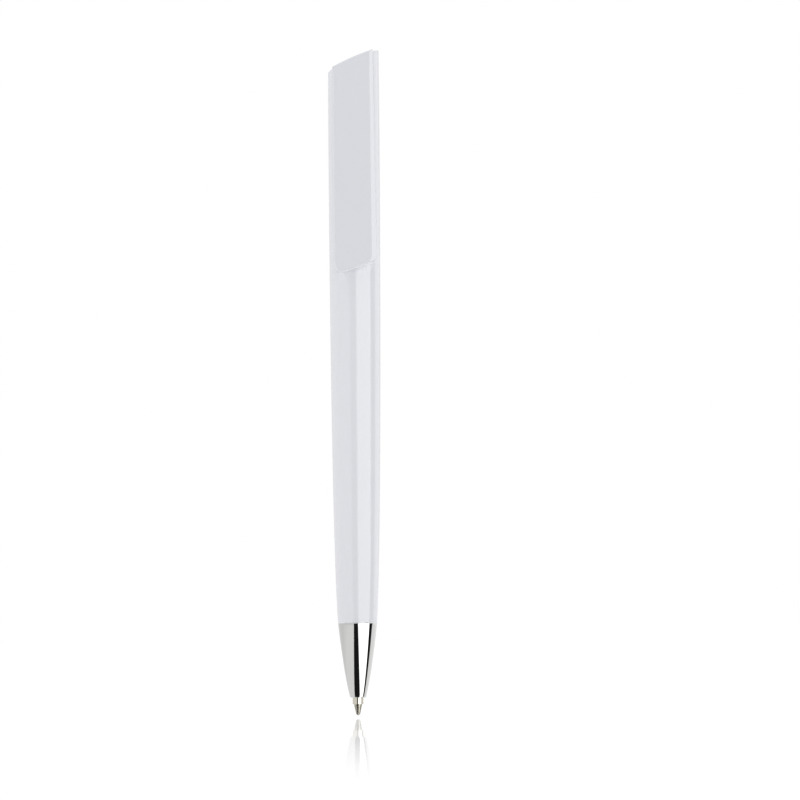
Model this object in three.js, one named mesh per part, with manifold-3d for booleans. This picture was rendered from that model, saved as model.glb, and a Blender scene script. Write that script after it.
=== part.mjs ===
// Slide-clip ballpoint pen with a slanted top, in millimetres, +Z up along the pen, point down.
// The clip is the push device: sliding it down puts the point out, as it is drawn here.
// Everything is built about the pen's own axis, and the last lines set it over the origin.
import * as THREE from 'three';
import { mergeVertices } from 'three/addons/utils/BufferGeometryUtils.js';
import Module from 'manifold-3d';

const wasm = await Module();
wasm.setup();

// Whole pen
const PEN_LENGTH = 140;
const SLIDE_GAP = 0.2;
const SEAT_GAP = 0.3;

// Slanted, gently crowned top: high at +X
const TOP_SLOPE_HIGH = 0.3;
const TOP_CROWN_RADIUS = 52;

// Barrel outside
const SEAM_RADIUS = 4.12;
const SEAM_SLOPE = 0.065;
const SEAM_REACH = 18;
const BELLY_RADIUS = 5.42;
const BELLY_BELOW_TOP = 22;
const BELLY_REACH = 15;
const TOP_RADIUS = 5.35;

// Barrel inside
const BARREL_WALL = 1.15;
const SPIGOT_BORE_RADIUS = 3.42;
const FLAT_DISTANCE = 3.45;
const FLAT_WALL = 0.9;
const LEDGE_THICKNESS = 1.6;
const ROUND_BORE_MARGIN = 4;

// Rib in the flat, under the clip
const RIB_WIDTH = 3;
const RIB_OUTER = 5.15;
const RIB_LENGTH = 14.65;
const RIB_FILLET = 1.7;

// Point and nose
const POINT_REACH = 3.7;
const POINT_HIDE = 0.6;
const NOSE_LENGTH = 15.7;
const NOSE_END_RADIUS = 1.7;
const NOSE_SHOULDER_HEIGHT = 4.95;
const NOSE_SHOULDER_RADIUS = 2.94;
const NOSE_LIP = 0.2;
const NOSE_GUIDE_LENGTH = 4.2;
const NOSE_CHAMBER_RADIUS = 2;
const SPIGOT_LENGTH = 7.4;
const THREAD_DEPTH = 0.35;
const THREAD_PITCH = 1.1;
const THREAD_TURNS = 4;
const SEAM_GAP = 0.15;

// Writing point and ball
const BALL_RADIUS = 0.35;
const BALL_GAP = 0.04;
const BALL_SHOW = 0.22;
const LIP_RADIUS = 0.43;
const CONE_HEIGHT = 2.3;
const CONE_RADIUS = 0.85;
const CONE_SWELL_RADIUS = 0.74;
const CONE_SWELL_HEIGHT = 1.1;
const CONE_STEP = 0.06;
const SHANK_RADIUS = 1.15;
const SHANK_LENGTH = 9.7;
const STEM_RADIUS = 0.55;
const STEM_LENGTH = 5;
const FEED_RADIUS = 0.18;

// Refill
const TUBE_RADIUS = 1.5;
const TUBE_BORE = 1;
const NOZZLE_RADIUS = 1.2;
const NOZZLE_LENGTH = 8;
const COLLAR_RADIUS = 1.8;
const COLLAR_THICKNESS = 0.8;
const INK_GAP = 0.1;
const FOLLOWER_LENGTH = 5;
const AIR_ABOVE_INK = 6;

// Return spring
const WIRE_RADIUS = 0.2;
const COIL_RADIUS = 1.55;
const COIL_TURNS = 9;

// Rotary cam
const CAM_TURN = 45;
const CAM_LUGS = 4;
const LUG_RADIUS = 2.3;
const LUG_HALF_ANGLE = 12;
const LUG_WEB = 1.1;
const RIB_HALF_ANGLE = 13;
const CORE_RADIUS = 1.7;
const CROWN_HEIGHT = 0.6;
const CROWN_TEETH = 8;
const CREST_GAP = 0.15;
const STUB_RADIUS = 0.75;
const STUB_LENGTH = 3;

// Guide sleeve and slider
const SLEEVE_BORE_RADIUS = 2.5;
const SLEEVE_RIB_RADIUS = 1.95;
const SLIDER_RADIUS = 2.25;
const SLIDER_TUBE_RADIUS = 1.7;
const SLIDER_TUBE_BORE = 1.1;
const SLIDER_LENGTH = 19.5;
const SLIDER_HEAD_LENGTH = 7;
const OVERTRAVEL = 1;

// Clip
const CLIP_INNER = 5.67;
const CLIP_THICKNESS = 1.83;
const CLIP_LEFT = 4.42;
const CLIP_RIGHT_TOP = 4.1;
const CLIP_RIGHT_BOTTOM = 4.66;
const CLIP_LENGTH = 44.54;
const CLIP_BOTTOM_SLOPE = 0.37;
const CLIP_CORNER_LOW = 3.2;
const CLIP_CORNER_HIGH = 1.3;
const CLIP_BELOW_RECESS = 0.32;
const RECESS_TURN = 2.2;
const RECESS_TURN_SLOPE = 0.6;
const BEVEL_DEPTH = 0.42;
const BEVEL_THIN = 0.25;
const BEVEL_LEFT_BOTTOM = 0.4;
const BEVEL_RIGHT_TOP = 0.7;
const BEVEL_RIGHT_BOTTOM = 1;
const FOOT_HEIGHT = 5.7;
const FOOT_WIDTH = 3.6;
const FOOT_STANDOFF = 0.75;
const NECK_WIDTH = 2.4;
const NECK_INSET = 0.5;
const TAB_WIDTH = 1.4;
const TAB_HEIGHT = 2.4;
const TAB_LENGTH = 1;
const RIM_BRIDGE = 1.2;
const BEAD_BELOW_TOP = 35.7;
const BEAD_LENGTH = 2.7;
const BEAD_RISE = 0.38;
const BEAD_WIDTH = 3;

// Top cap
const CAP_THICKNESS = 0.9;
const CAP_SKIRT_WALL = 0.8;
const CAP_SKIRT_DEPTH = 6.5;

// Facets round the pen
const ROUND = 48;
const FINE_ROUND = 24;

// Heights that follow from the sizes above
const stroke = POINT_REACH + POINT_HIDE;
const seamHeight = POINT_REACH + NOSE_LENGTH;
const bellyHeight = PEN_LENGTH - BELLY_BELOW_TOP;
const slotHalf = NECK_WIDTH / 2 + SLIDE_GAP;
const footTop = topHeight(-slotHalf) - RIM_BRIDGE - SLIDE_GAP - stroke;
const footBottom = footTop - FOOT_HEIGHT;
const neckTop = footTop - NECK_INSET;
const neckBottom = footBottom + NECK_INSET;
const sliderTop = topHeight(-SLIDER_RADIUS) - CAP_THICKNESS - 2 * SLIDE_GAP - stroke;
const sliderBottom = sliderTop - SLIDER_LENGTH;
const headBottom = sliderTop - SLIDER_HEAD_LENGTH;
const camRise = stroke / CAM_TURN;
const rotorTop = sliderBottom - CREST_GAP;
const crownBase = rotorTop - CROWN_HEIGHT;
const lugMiddle = crownBase - camRise * LUG_HALF_ANGLE - SLIDE_GAP;
const rotorBottom = lugMiddle - camRise * LUG_HALF_ANGLE - LUG_WEB;
const refillTop = rotorBottom - SEAT_GAP;
const sleeveBottom = rotorBottom - OVERTRAVEL - SLIDE_GAP;
const ledgeTop = sleeveBottom - SEAT_GAP;
const ledgeBottom = ledgeTop - LEDGE_THICKNESS;
const camRibTop = headBottom - OVERTRAVEL - SEAT_GAP;
const capSkirtBottom = PEN_LENGTH - CAP_SKIRT_DEPTH;
const sleeveTop = capSkirtBottom - SEAT_GAP;
const clipBottom = topHeight(0) - CLIP_LENGTH;
const recessBottom = clipBottom + CLIP_BELOW_RECESS;
const beadHeight = topHeight(0) - BEAD_BELOW_TOP;
const nozzleBottom = CONE_HEIGHT + SHANK_LENGTH + SLIDE_GAP;
const collarBottom = nozzleBottom + NOZZLE_LENGTH;
const collarTop = collarBottom + COLLAR_THICKNESS;
const inkBottom = collarTop + SEAT_GAP;
const followerTop = rotorBottom - STUB_LENGTH - AIR_ABOVE_INK;
const followerBottom = followerTop - FOLLOWER_LENGTH;
const springSeat = POINT_REACH + NOSE_GUIDE_LENGTH;
const flatInside = FLAT_DISTANCE - FLAT_WALL;
const upperBore = TOP_RADIUS - BARREL_WALL;
const clipOuter = CLIP_INNER + CLIP_THICKNESS;
const far = 2 * clipOuter;
const overcut = 1;

const WHITE = { color: 0xe6e8ea, roughness: 0.2, metalness: 0 };
const CHROME = { color: 0xd0d2d6, roughness: 0.06, metalness: 1 };
const BRASS = { color: 0xd9b46a, roughness: 0.25, metalness: 1 };
const STEEL = { color: 0xb9bcc0, roughness: 0.3, metalness: 1 };
const NATURAL = { color: 0xdfe3e4, roughness: 0.45, metalness: 0 };
const INK = { color: 0x16307c, roughness: 0.35, metalness: 0 };
const GREASE = { color: 0xd8cf9a, roughness: 0.3, metalness: 0 };

// Height of the slanted top over a place across the pen
function topHeight(x) {
  const across = TOP_RADIUS - x;
  const level = TOP_CROWN_RADIUS * TOP_SLOPE_HIGH / Math.hypot(1, TOP_SLOPE_HIGH);
  const drop = Math.sqrt(TOP_CROWN_RADIUS ** 2 - level ** 2);
  return PEN_LENGTH - drop + Math.sqrt(TOP_CROWN_RADIUS ** 2 - (level + across) ** 2);
}

function solid(geometry) {
  const bare = geometry.index ? geometry.toNonIndexed() : geometry.clone();
  for (const name of Object.keys(bare.attributes)) {
    if (name !== 'position') bare.deleteAttribute(name);
  }
  const merged = mergeVertices(bare, 1e-4);
  const index = Array.from(merged.index.array);
  const kept = [];
  for (let i = 0; i < index.length; i += 3) {
    const [a, b, c] = index.slice(i, i + 3);
    if (a !== b && b !== c && c !== a) kept.push(a, b, c);
  }
  const vertProperties = new Float32Array(merged.attributes.position.array);
  const triVerts = new Uint32Array(kept);
  return new wasm.Manifold(new wasm.Mesh({ numProp: 3, vertProperties, triVerts }));
}

function named(name, shape, look) {
  const cut = shape.getMesh();
  const geometry = new THREE.BufferGeometry();
  geometry.setAttribute('position', new THREE.BufferAttribute(new Float32Array(cut.vertProperties), 3));
  geometry.setIndex(Array.from(cut.triVerts));
  geometry.computeVertexNormals();
  const mesh = new THREE.Mesh(geometry, new THREE.MeshStandardMaterial(look));
  mesh.name = name;
  return mesh;
}

// A profile of [radius, height] points, up the outside and down the inside, turned about the axis
function turned(profile, segments = ROUND) {
  const points = profile.map(([r, z]) => new THREE.Vector2(r, z));
  if (profile[0][0] > 0) points.push(points[0].clone());
  const geometry = new THREE.LatheGeometry(points, segments);
  geometry.rotateX(Math.PI / 2);
  return solid(geometry);
}

function rod(radius, from, to, segments = ROUND) {
  return turned([[0, from], [radius, from], [radius, to], [0, to]], segments);
}

// An outline of [x, z] points, run along Y between two places
function prism(outline, yFrom, yTo) {
  const shape = new THREE.Shape(outline.map(([x, z]) => new THREE.Vector2(x, z)));
  const geometry = new THREE.ExtrudeGeometry(shape, { depth: yTo - yFrom, bevelEnabled: false });
  geometry.rotateX(Math.PI / 2);
  geometry.translate(0, yTo, 0);
  return solid(geometry);
}

// An outline of [y, z] points, run along X about the middle
function crossPrism(outline, width) {
  const shape = new THREE.Shape(outline.map(([y, z]) => new THREE.Vector2(y, z)));
  const geometry = new THREE.ExtrudeGeometry(shape, { depth: width, bevelEnabled: false });
  geometry.rotateX(Math.PI / 2);
  geometry.rotateZ(Math.PI / 2);
  geometry.translate(-width / 2, 0, 0);
  return solid(geometry);
}

function block(xFrom, xTo, yFrom, yTo, zFrom, zTo) {
  const geometry = new THREE.BoxGeometry(xTo - xFrom, yTo - yFrom, zTo - zFrom);
  geometry.translate((xFrom + xTo) / 2, (yFrom + yTo) / 2, (zFrom + zTo) / 2);
  return solid(geometry);
}

// A piece of ring whose lower and upper heights change with the angle, in degrees
function ringPiece(inner, outer, from, to, steps, bottom, top) {
  const whole = to - from >= 360;
  const positions = [];
  for (let i = 0; i <= steps - (whole ? 1 : 0); i++) {
    const degrees = from + (to - from) * i / steps;
    const angle = THREE.MathUtils.degToRad(degrees);
    const [low, high] = [bottom(degrees), top(degrees)];
    for (const [r, z] of [[inner, low], [outer, low], [outer, high], [inner, high]]) {
      positions.push(r * Math.cos(angle), r * Math.sin(angle), z);
    }
  }
  const index = [];
  const count = positions.length / 12;
  for (let i = 0; i < steps; i++) {
    const next = (i + 1) % count;
    for (let k = 0; k < 4; k++) {
      const [a, b] = [4 * i + k, 4 * next + k];
      const [c, d] = [4 * next + (k + 1) % 4, 4 * i + (k + 1) % 4];
      index.push(a, b, c, a, c, d);
    }
  }
  if (!whole) {
    const last = 4 * steps;
    index.push(0, 1, 2, 0, 2, 3, last, last + 2, last + 1, last, last + 3, last + 2);
  }
  const geometry = new THREE.BufferGeometry();
  geometry.setAttribute('position', new THREE.Float32BufferAttribute(positions, 3));
  geometry.setIndex(index);
  return solid(geometry);
}

// Outside of the barrel: an ogive from the seam to the belly, then a slight draw-in to the top
function barrelCurve() {
  const lower = new THREE.CubicBezierCurve(
    new THREE.Vector2(SEAM_RADIUS, seamHeight),
    new THREE.Vector2(SEAM_RADIUS + SEAM_REACH * SEAM_SLOPE, seamHeight + SEAM_REACH),
    new THREE.Vector2(BELLY_RADIUS, bellyHeight - BELLY_REACH),
    new THREE.Vector2(BELLY_RADIUS, bellyHeight),
  );
  const upper = new THREE.QuadraticBezierCurve(
    new THREE.Vector2(BELLY_RADIUS, bellyHeight),
    new THREE.Vector2(BELLY_RADIUS, (bellyHeight + PEN_LENGTH) / 2),
    new THREE.Vector2(TOP_RADIUS, PEN_LENGTH),
  );
  return [...lower.getPoints(12), ...upper.getPoints(3).slice(1)].map((p) => [p.x, p.y]);
}

// Everything above the slanted top, as an outline across the pen
function aboveTop(drop) {
  const outline = [[far, PEN_LENGTH + far], [-far, PEN_LENGTH + far]];
  const steps = 8;
  for (let i = 0; i <= steps; i++) {
    const x = -clipOuter + 2 * clipOuter * i / steps;
    outline.push([i === 0 ? -far : i === steps ? far : x, topHeight(x) - drop]);
  }
  return outline;
}

function slantCut(drop, yFrom = -far, yTo = far) {
  return prism(aboveTop(drop), yFrom, yTo);
}

// The clip's lower edge runs parallel to this line, and so does the end wall of the recess, which
// turns up at the left behind the clip's round corner
function lowerLine(x, height) {
  return height + CLIP_BOTTOM_SLOPE * x;
}

function recess() {
  const lowest = lowerLine(-RECESS_TURN, recessBottom);
  const outline = [
    [-far, lowest + RECESS_TURN_SLOPE * (far - RECESS_TURN)],
    [-RECESS_TURN, lowest],
    [far, lowerLine(far, recessBottom)],
    [far, PEN_LENGTH + far],
    [-far, PEN_LENGTH + far],
  ];
  return prism(outline, -far, -FLAT_DISTANCE).subtract(flatRib());
}

// The rib stands on the flat and runs down into the end wall, with a hollow fillet at its top
function flatRib() {
  const ribTop = recessBottom + RIB_LENGTH;
  const root = overcut - FLAT_DISTANCE;
  const below = recessBottom - far;
  const outline = [[root, below], [-RIB_OUTER, below], [-RIB_OUTER, ribTop]];
  const steps = 5;
  for (let i = 0; i <= steps; i++) {
    const turn = Math.PI / 2 * i / steps;
    const y = -FLAT_DISTANCE - RIB_FILLET * (1 - Math.sin(turn));
    outline.push([y, ribTop + RIB_FILLET * (1 - Math.cos(turn))]);
  }
  outline.push([root, ribTop + RIB_FILLET]);
  return crossPrism(outline, RIB_WIDTH);
}

// A bore that is flat on the clip's side
function flattedBore(radius, from, to) {
  return rod(radius, from, to).subtract(block(-far, far, -far, -flatInside, from - overcut, to + overcut));
}

function barrel() {
  const outside = turned([[0, seamHeight], ...barrelCurve(), [0, PEN_LENGTH]]);
  const roundEnd = recessBottom - ROUND_BORE_MARGIN;
  const spigotBore = rod(SPIGOT_BORE_RADIUS, seamHeight - overcut, roundEnd);
  const lowerBore = flattedBore(SPIGOT_BORE_RADIUS, roundEnd - overcut, ledgeBottom);
  const upper = flattedBore(upperBore, ledgeTop, PEN_LENGTH + overcut);
  const ledgeHole = TUBE_RADIUS + 2 * SLIDE_GAP;
  const through = rod(ledgeHole, ledgeBottom - overcut, ledgeTop + overcut, FINE_ROUND);
  const slotBottom = neckBottom - OVERTRAVEL - SLIDE_GAP;
  const slot = block(-slotHalf, slotHalf, -far, -overcut, slotBottom, neckTop + stroke + SLIDE_GAP);
  return outside
    .subtract(slantCut(0))
    .subtract(recess())
    .subtract(spigotBore)
    .subtract(lowerBore)
    .subtract(upper)
    .subtract(through)
    .subtract(slot);
}

// Lid in the barrel's top, flush with the slanted rim, with a skirt that holds the sleeve down
function topCap() {
  const radius = upperBore - SLIDE_GAP;
  const inner = radius - CAP_SKIRT_WALL;
  const flat = flatInside - SLIDE_GAP;
  const from = capSkirtBottom - overcut;
  const to = PEN_LENGTH + 2 * overcut;
  const under = slantCut(CAP_THICKNESS);
  const plug = rod(radius, capSkirtBottom, PEN_LENGTH + overcut);
  const hollow = rod(inner, from, to).subtract(under);
  const front = block(-far, far, -far, -flat, from, to);
  const halfWay = SLIDER_RADIUS + SLIDE_GAP;
  const way = block(-halfWay, halfWay, -far, 0, from, to).subtract(under);
  return plug.subtract(hollow).subtract(front).subtract(way).subtract(slantCut(0));
}

// Open-fronted sleeve with the fixed cams: ribs whose lower ends follow the rotor's rise
function guideSleeve() {
  const radius = upperBore - SLIDE_GAP;
  const body = turned([
    [SLEEVE_BORE_RADIUS, sleeveBottom],
    [radius, sleeveBottom],
    [radius, sleeveTop],
    [SLEEVE_BORE_RADIUS, sleeveTop],
  ]);
  const from = sleeveBottom - overcut;
  const to = sleeveTop + overcut;
  const front = block(-far, far, -far, SLIDE_GAP - flatInside, from, to);
  const slit = block(-slotHalf, slotHalf, -far, 0, from, to);
  let sleeve = body.subtract(front).subtract(slit);
  for (let i = 0; i < CAM_LUGS; i++) {
    const middle = 360 / CAM_LUGS * (i + 0.5);
    const rib = ringPiece(
      SLEEVE_RIB_RADIUS,
      SLEEVE_BORE_RADIUS + SLIDE_GAP,
      middle - RIB_HALF_ANGLE,
      middle + RIB_HALF_ANGLE,
      4,
      (degrees) => lugMiddle + SEAT_GAP + camRise * (degrees - middle),
      () => camRibTop,
    );
    sleeve = sleeve.add(rib);
  }
  return sleeve.subtract(slit).subtract(front);
}

function crown(inner, outer, crest, towards) {
  const period = 360 / CROWN_TEETH;
  const base = crest - towards * CROWN_HEIGHT;
  const tooth = (degrees) => {
    const phase = Math.abs(((degrees / period) % 1 + 1) % 1 - 0.5) * 2;
    return crest - towards * CROWN_HEIGHT * (1 - phase);
  };
  const root = () => base - towards * CROWN_HEIGHT / 2;
  const [low, high] = towards > 0 ? [root, tooth] : [tooth, root];
  return ringPiece(inner, outer, 0, 360, 2 * CROWN_TEETH, low, high);
}

function camRotor() {
  const inner = SLIDER_TUBE_BORE;
  let rotor = turned([
    [0, rotorBottom - STUB_LENGTH],
    [STUB_RADIUS, rotorBottom - STUB_LENGTH],
    [STUB_RADIUS, rotorBottom],
    [CORE_RADIUS, rotorBottom],
    [CORE_RADIUS, crownBase],
    [0, crownBase],
  ], 2 * CROWN_TEETH).add(crown(inner, CORE_RADIUS, rotorTop, 1));
  for (let i = 0; i < CAM_LUGS; i++) {
    const middle = 360 / CAM_LUGS * (i + 0.5);
    const lug = ringPiece(
      CORE_RADIUS - SEAT_GAP,
      LUG_RADIUS,
      middle - LUG_HALF_ANGLE,
      middle + LUG_HALF_ANGLE,
      4,
      () => rotorBottom,
      (degrees) => lugMiddle + camRise * (degrees - middle),
    );
    rotor = rotor.add(lug);
  }
  return rotor;
}

// Carrier inside the barrel: crown tube below, round head above, and the neck that the clip sits on
function slider() {
  const tube = turned([
    [SLIDER_TUBE_BORE, sliderBottom + CROWN_HEIGHT],
    [SLIDER_TUBE_RADIUS, sliderBottom + CROWN_HEIGHT],
    [SLIDER_TUBE_RADIUS, headBottom],
    [SLIDER_RADIUS, headBottom],
    [SLIDER_RADIUS, sliderTop],
    [0, sliderTop],
    [0, headBottom + SLIDER_TUBE_BORE],
    [SLIDER_TUBE_BORE, headBottom],
  ], 2 * CROWN_TEETH);
  const neckOut = FLAT_DISTANCE + FOOT_STANDOFF - SLIDE_GAP;
  const neck = block(-NECK_WIDTH / 2, NECK_WIDTH / 2, -neckOut, -overcut, neckBottom, neckTop);
  const tabMiddle = (footTop + footBottom) / 2;
  const tab = block(
    -TAB_WIDTH / 2,
    TAB_WIDTH / 2,
    -neckOut - TAB_LENGTH,
    overcut - neckOut,
    tabMiddle - TAB_HEIGHT / 2,
    tabMiddle + TAB_HEIGHT / 2,
  );
  return tube.add(crown(SLIDER_TUBE_BORE, SLIDER_TUBE_RADIUS, sliderBottom, -1)).add(neck).add(tab);
}

// Outline of the clip's plate, anticlockwise from its top right: the full one, or the outer face's
// one inside the bevel, which is thin at both ends and widens down both sides
function clipOutline(bevelled) {
  const thin = bevelled ? BEVEL_THIN : 0;
  const rightTop = CLIP_RIGHT_TOP - (bevelled ? BEVEL_RIGHT_TOP : 0);
  const right = CLIP_RIGHT_BOTTOM - (bevelled ? BEVEL_RIGHT_BOTTOM : 0);
  const leftTop = thin - CLIP_LEFT;
  const left = (bevelled ? BEVEL_LEFT_BOTTOM : 0) - CLIP_LEFT;
  const points = [];
  const run = 5;
  for (let i = 0; i <= run; i++) {
    const x = rightTop + (leftTop - rightTop) * i / run;
    points.push(new THREE.Vector2(x, topHeight(x) - thin));
  }
  const lowLeft = new THREE.Vector2(left, lowerLine(left, clipBottom) + thin);
  const lowRight = new THREE.Vector2(right, lowerLine(right, clipBottom) + thin);
  roundCorner(points, points[run], lowLeft, lowRight, CLIP_CORNER_LOW - thin);
  roundCorner(points, lowLeft, lowRight, points[0], CLIP_CORNER_HIGH);
  return points;
}

function roundCorner(points, before, corner, after, radius) {
  const start = corner.clone().addScaledVector(before.clone().sub(corner).normalize(), radius);
  const end = corner.clone().addScaledVector(after.clone().sub(corner).normalize(), radius);
  points.push(...new THREE.QuadraticBezierCurve(start, corner, end).getPoints(4));
}

// The plate: inner face, straight sides, then a bevel of changing width up to the outer face
function clipPlate() {
  const full = clipOutline(false);
  const face = clipOutline(true);
  const count = full.length;
  const rings = [[full, -CLIP_INNER], [full, BEVEL_DEPTH - clipOuter], [face, -clipOuter]];
  const positions = rings.flatMap(([ring, y]) => ring.flatMap((p) => [p.x, y, p.y]));
  const index = [];
  for (const [a, b, c] of THREE.ShapeUtils.triangulateShape(full, [])) index.push(a, c, b);
  for (const corners of THREE.ShapeUtils.triangulateShape(face, [])) {
    index.push(...corners.map((i) => 2 * count + i));
  }
  for (let ring = 0; ring < 2; ring++) {
    for (let i = 0; i < count; i++) {
      const [a, b] = [ring * count + i, ring * count + (i + 1) % count];
      index.push(a, b, b + count, a, b + count, a + count);
    }
  }
  const geometry = new THREE.BufferGeometry();
  geometry.setAttribute('position', new THREE.Float32BufferAttribute(positions, 3));
  geometry.setIndex(index);
  return solid(geometry);
}

// Plate, the foot that sits on the slider's tab, and the gripping bead near the lower end
function clip() {
  const base = -(FLAT_DISTANCE + FOOT_STANDOFF);
  const foot = block(-FOOT_WIDTH / 2, FOOT_WIDTH / 2, -CLIP_INNER - BEVEL_DEPTH, base, footBottom, footTop);
  const tabMiddle = (footTop + footBottom) / 2;
  const room = SEAT_GAP;
  const pocket = block(
    -TAB_WIDTH / 2 - room,
    TAB_WIDTH / 2 + room,
    base - TAB_LENGTH - room + SLIDE_GAP,
    base + overcut,
    tabMiddle - TAB_HEIGHT / 2 - room,
    tabMiddle + TAB_HEIGHT / 2 + room,
  );
  return clipPlate().add(foot).subtract(pocket).add(bead());
}

function bead() {
  const half = BEAD_LENGTH / 2;
  const root = -CLIP_INNER - BEVEL_DEPTH;
  const outline = [[root, beadHeight + half], [root, beadHeight - half]];
  const steps = 6;
  for (let i = 0; i <= steps; i++) {
    const turn = Math.PI * i / steps;
    outline.push([-CLIP_INNER + BEAD_RISE * Math.sin(turn), beadHeight - half * Math.cos(turn)]);
  }
  return crossPrism(outline, BEAD_WIDTH);
}

// Nose cone: a swelling cone down to the lip, with the threaded spigot that goes up the barrel
function noseCone() {
  const curve = new THREE.QuadraticBezierCurve(
    new THREE.Vector2(NOSE_END_RADIUS, POINT_REACH + NOSE_LIP),
    new THREE.Vector2(NOSE_SHOULDER_RADIUS, POINT_REACH + NOSE_SHOULDER_HEIGHT),
    new THREE.Vector2(SEAM_RADIUS - SEAM_GAP * SEAM_SLOPE, seamHeight - SEAM_GAP),
  );
  const outside = curve.getPoints(9).map((p) => [p.x, p.y]);
  const mouth = SHANK_RADIUS + SLIDE_GAP;
  const root = SPIGOT_BORE_RADIUS - SLIDE_GAP - THREAD_DEPTH;
  const spigotTop = seamHeight + SPIGOT_LENGTH;
  const flank = 0.4 * THREAD_PITCH;
  const thread = [[root, seamHeight - SEAM_GAP]];
  for (let i = 0; i < THREAD_TURNS; i++) {
    const z = seamHeight + SPIGOT_LENGTH / 2 + THREAD_PITCH * (i - THREAD_TURNS / 2 + 0.5);
    thread.push([root, z - flank], [root + THREAD_DEPTH, z], [root, z + flank]);
  }
  return turned([
    [mouth, POINT_REACH],
    [NOSE_END_RADIUS - NOSE_LIP, POINT_REACH],
    ...outside,
    ...thread,
    [root, spigotTop],
    [NOSE_CHAMBER_RADIUS, spigotTop],
    [NOSE_CHAMBER_RADIUS, springSeat],
    [mouth, springSeat - SEAT_GAP],
  ]);
}

// Turned writing point: lip round the ball, cone, collar, shank and the stem pressed in the refill
function writingPoint() {
  const seat = BALL_RADIUS + BALL_GAP;
  const arc = [];
  const steps = 5;
  const from = Math.asin((BALL_SHOW - BALL_RADIUS) / seat);
  const to = Math.acos(FEED_RADIUS / seat);
  for (let i = 0; i <= steps; i++) {
    const turn = to + (from - to) * i / steps;
    arc.push([seat * Math.cos(turn), BALL_RADIUS + seat * Math.sin(turn)]);
  }
  const shankTop = CONE_HEIGHT + SHANK_LENGTH;
  const cone = new THREE.QuadraticBezierCurve(
    new THREE.Vector2(LIP_RADIUS, BALL_SHOW),
    new THREE.Vector2(CONE_SWELL_RADIUS, CONE_SWELL_HEIGHT),
    new THREE.Vector2(CONE_RADIUS, CONE_HEIGHT),
  );
  return turned([
    ...cone.getPoints(5).map((p) => [p.x, p.y]),
    [SHANK_RADIUS, CONE_HEIGHT + CONE_STEP],
    [SHANK_RADIUS, shankTop],
    [STEM_RADIUS, shankTop],
    [STEM_RADIUS, shankTop + STEM_LENGTH],
    [FEED_RADIUS, shankTop + STEM_LENGTH],
    ...arc,
  ], FINE_ROUND);
}

function writingBall() {
  const geometry = new THREE.SphereGeometry(BALL_RADIUS, 16, 12);
  geometry.rotateX(Math.PI / 2);
  geometry.translate(0, 0, BALL_RADIUS);
  return solid(geometry);
}

function refillTube() {
  const nozzleBore = STEM_RADIUS + SLIDE_GAP / 2;
  return turned([
    [nozzleBore, nozzleBottom],
    [NOZZLE_RADIUS, nozzleBottom],
    [NOZZLE_RADIUS, collarBottom],
    [COLLAR_RADIUS, collarBottom],
    [COLLAR_RADIUS, collarTop],
    [TUBE_RADIUS, collarTop],
    [TUBE_RADIUS, refillTop],
    [TUBE_BORE, refillTop],
    [TUBE_BORE, collarTop],
    [nozzleBore, collarTop],
  ], FINE_ROUND);
}

// A column that fills the refill's tube
function inTube(from, to) {
  return rod(TUBE_BORE - INK_GAP, from, to, FINE_ROUND);
}

// One unbroken helix of round wire between the nose's seat and the refill's collar
class Helix extends THREE.Curve {
  getPoint(t, target = new THREE.Vector3()) {
    const turn = 2 * Math.PI * COIL_TURNS * t;
    const low = springSeat + WIRE_RADIUS + SLIDE_GAP;
    const high = collarBottom - WIRE_RADIUS - SLIDE_GAP;
    return target.set(COIL_RADIUS * Math.cos(turn), COIL_RADIUS * Math.sin(turn), low + (high - low) * t);
  }
}

function returnSpring() {
  const helix = new Helix();
  const stepsPerTurn = 8;
  const sides = 5;
  const steps = COIL_TURNS * stepsPerTurn;
  const positions = [];
  const index = [];
  const centres = [];
  for (let i = 0; i <= steps; i++) {
    const centre = helix.getPoint(i / steps);
    const out = new THREE.Vector3(centre.x, centre.y, 0).normalize();
    centres.push(centre);
    for (let k = 0; k < sides; k++) {
      const angle = 2 * Math.PI * k / sides;
      const p = centre.clone().addScaledVector(out, WIRE_RADIUS * Math.cos(angle));
      positions.push(p.x, p.y, p.z + WIRE_RADIUS * Math.sin(angle));
    }
  }
  for (let i = 0; i < steps; i++) {
    for (let k = 0; k < sides; k++) {
      const next = (k + 1) % sides;
      const [a, b] = [sides * i + k, sides * i + next];
      index.push(a, a + sides, b + sides, a, b + sides, b);
    }
  }
  for (let k = 1; k < sides - 1; k++) {
    index.push(0, k, k + 1);
    index.push(sides * steps, sides * steps + k + 1, sides * steps + k);
  }
  let least = Infinity;
  for (let i = 0; i < centres.length; i++) {
    for (let k = i + stepsPerTurn - 2; k < centres.length; k++) {
      least = Math.min(least, centres[i].distanceTo(centres[k]) - 2 * WIRE_RADIUS);
    }
  }
  console.log(`return_spring: least gap between its turns ${least.toFixed(2)} mm`);
  const geometry = new THREE.BufferGeometry();
  geometry.setAttribute('position', new THREE.Float32BufferAttribute(positions, 3));
  geometry.setIndex(index);
  return solid(geometry);
}

const pen = new THREE.Group();
pen.name = 'slide_clip_pen';

const casing = new THREE.Group();
casing.add(named('barrel', barrel(), WHITE));
casing.add(named('top_cap', topCap(), WHITE));
casing.add(named('guide_sleeve', guideSleeve(), NATURAL));
casing.add(named('nose_cone', noseCone(), CHROME));
casing.add(named('return_spring', returnSpring(), STEEL));

const push = new THREE.Group();
push.add(named('slider', slider(), NATURAL));
push.add(named('clip', clip(), WHITE));

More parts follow.
